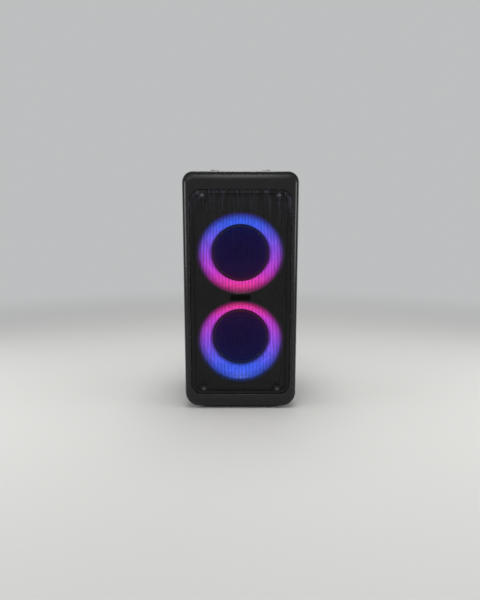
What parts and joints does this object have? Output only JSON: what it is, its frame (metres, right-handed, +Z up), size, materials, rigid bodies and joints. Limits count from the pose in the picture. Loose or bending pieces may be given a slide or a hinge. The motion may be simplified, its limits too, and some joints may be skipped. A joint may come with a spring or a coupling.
{
  "type": "party speaker",
  "caption": "Upright party speaker cabinet with lit horn rings round its woofers, a slotted steel grille, a folding carry handle and a rear connector panel.",
  "frame": {"origin": "on the floor, under the middle of the part's bounding box", "axes": "+Z up, +X to the right seen from the front, and the grille faces -Y"},
  "size_m": [0.32, 0.296, 0.6905],
  "materials": {
    "shell_plastic": "charcoal black moulded plastic with a fine satin grain",
    "baffle_plastic": "black moulded plastic",
    "grille_steel": "slotted sheet steel, black powder coat",
    "badge_plastic": "polished black plate, left bare",
    "black_screw": "black oxide",
    "zinc_screw": "zinc plated",
    "foot_rubber": "black moulded rubber",
    "gasket_foam": "closed-cell foam",
    "panel_plastic": "black moulded plastic, finer grain than the shell",
    "bracket_metal": "cast, dark satin",
    "pin_steel": "plain turned steel",
    "handle_plastic": "soft-touch black",
    "key_plastic": "dark grey with a pale printed symbol",
    "knob_plastic": "dark grey, fluted",
    "light_guide": "clear light guide over a white lamp",
    "ring_diffuser": "milky translucent plastic lit from behind, blue to violet to pink",
    "led_board": "white circuit board with small lamps",
    "basket_steel": "pressed steel, black paint",
    "magnet_iron": "ferrite ring between steel plates",
    "surround_rubber": "soft black rubber half roll",
    "cone_paper": "black pressed pulp",
    "spider_cloth": "resin-treated cotton, corrugated",
    "coil_copper": "copper winding on a former",
    "circuit_board": "green solder mask",
    "supply_board": "tan board with its parts",
    "socket_plastic": "black socket moulding",
    "pot_metal": "plated can",
    "port_plastic": "black moulded plastic",
    "sink_aluminium": "black anodised extrusion",
    "cell_wrap": "blue heat-shrink wrap",
    "wire_jacket": "red insulation"
  },
  "bodies": {
    "cabinet": {"cabinet_shell": "shell_plastic", "rear_cover": "shell_plastic", "front_frame": "shell_plastic", "front_baffle": "baffle_plastic", "grille": "grille_steel", "badge": "badge_plastic", "grille_screws": "black_screw", "baffle_screws": "black_screw", "rear_screws": "black_screw", "feet": "foot_rubber", "feet_screws": "zinc_screw", "upper_light_ring": "ring_diffuser", "lower_light_ring": "ring_diffuser", "upper_led_board": "led_board", "lower_led_board": "led_board", "upper_basket": "basket_steel", "upper_magnet": "magnet_iron", "upper_surround": "surround_rubber", "upper_spider": "spider_cloth", "lower_basket": "basket_steel", "lower_magnet": "magnet_iron", "lower_surround": "surround_rubber", "lower_spider": "spider_cloth", "woofer_gaskets": "gasket_foam", "top_panel": "panel_plastic", "handle_brackets": "bracket_metal", "handle_pins": "pin_steel", "handle_bumpers": "foot_rubber", "control_board": "circuit_board", "status_lights": "light_guide", "io_panel": "panel_plastic", "instrument_jacks": "socket_plastic", "aux_jack": "socket_plastic", "usb_port": "pin_steel", "mains_inlet": "socket_plastic", "potentiometers": "pot_metal", "port_tube": "port_plastic", "amplifier_board": "circuit_board", "heat_sink": "sink_aluminium", "power_supply": "supply_board", "battery_pack": "cell_wrap", "battery_tray": "baffle_plastic", "wiring": "wire_jacket"},
    "handle": {"handle_bail": "handle_plastic"},
    "power_key": {"power_button": "key_plastic"},
    "pairing_key": {"pairing_button": "key_plastic"},
    "volume_down_key": {"volume_down_button": "key_plastic"},
    "play_key": {"play_button": "key_plastic"},
    "volume_up_key": {"volume_up_button": "key_plastic"},
    "bass_key": {"bass_button": "key_plastic"},
    "light_key": {"light_button": "key_plastic"},
    "mic_dial": {"mic_knob": "knob_plastic"},
    "guitar_dial": {"guitar_knob": "knob_plastic"},
    "echo_dial": {"echo_knob": "knob_plastic"},
    "upper_driver_cone": {"upper_cone": "cone_paper", "upper_dust_cap": "cone_paper", "upper_voice_coil": "coil_copper"},
    "lower_driver_cone": {"lower_cone": "cone_paper", "lower_dust_cap": "cone_paper", "lower_voice_coil": "coil_copper"}
  },
  "joints": [
    {"name": "handle_fold", "type": "hinge", "parent": "cabinet", "child": "handle", "pos_m": [0, -0.01, 0.682], "axis": [1, 0, 0], "range_deg": [0, 90]},
    {"name": "power_press", "type": "slide", "parent": "cabinet", "child": "power_key", "axis": [0, 0, -1], "range_m": [0, 0.001], "stiffness_N_per_m": 600, "springref_m": -0.0005},
    {"name": "pairing_press", "type": "slide", "parent": "cabinet", "child": "pairing_key", "axis": [0, 0, -1], "range_m": [0, 0.001], "stiffness_N_per_m": 600, "springref_m": -0.0005},
    {"name": "volume_down_press", "type": "slide", "parent": "cabinet", "child": "volume_down_key", "axis": [0, 0, -1], "range_m": [0, 0.001], "stiffness_N_per_m": 600, "springref_m": -0.0005},
    {"name": "play_press", "type": "slide", "parent": "cabinet", "child": "play_key", "axis": [0, 0, -1], "range_m": [0, 0.001], "stiffness_N_per_m": 600, "springref_m": -0.0005},
    {"name": "volume_up_press", "type": "slide", "parent": "cabinet", "child": "volume_up_key", "axis": [0, 0, -1], "range_m": [0, 0.001], "stiffness_N_per_m": 600, "springref_m": -0.0005},
    {"name": "bass_press", "type": "slide", "parent": "cabinet", "child": "bass_key", "axis": [0, 0, -1], "range_m": [0, 0.001], "stiffness_N_per_m": 600, "springref_m": -0.0005},
    {"name": "light_press", "type": "slide", "parent": "cabinet", "child": "light_key", "axis": [0, 0, -1], "range_m": [0, 0.001], "stiffness_N_per_m": 600, "springref_m": -0.0005},
    {"name": "mic_turn", "type": "hinge", "parent": "cabinet", "child": "mic_dial", "pos_m": [-0.052, 0.124, 0.262], "axis": [0, -1, 0], "range_deg": [0, 300]},
    {"name": "guitar_turn", "type": "hinge", "parent": "cabinet", "child": "guitar_dial", "pos_m": [0, 0.124, 0.262], "axis": [0, -1, 0], "range_deg": [0, 300]},
    {"name": "echo_turn", "type": "hinge", "parent": "cabinet", "child": "echo_dial", "pos_m": [0.052, 0.124, 0.262], "axis": [0, -1, 0], "range_deg": [0, 300]},
    {"name": "upper_cone_travel", "type": "slide", "parent": "cabinet", "child": "upper_driver_cone", "axis": [0, -1, 0], "range_m": [-0.003, 0.003], "stiffness_N_per_m": 2000},
    {"name": "lower_cone_travel", "type": "slide", "parent": "cabinet", "child": "lower_driver_cone", "axis": [0, -1, 0], "range_m": [-0.003, 0.003], "stiffness_N_per_m": 2000}
  ]
}
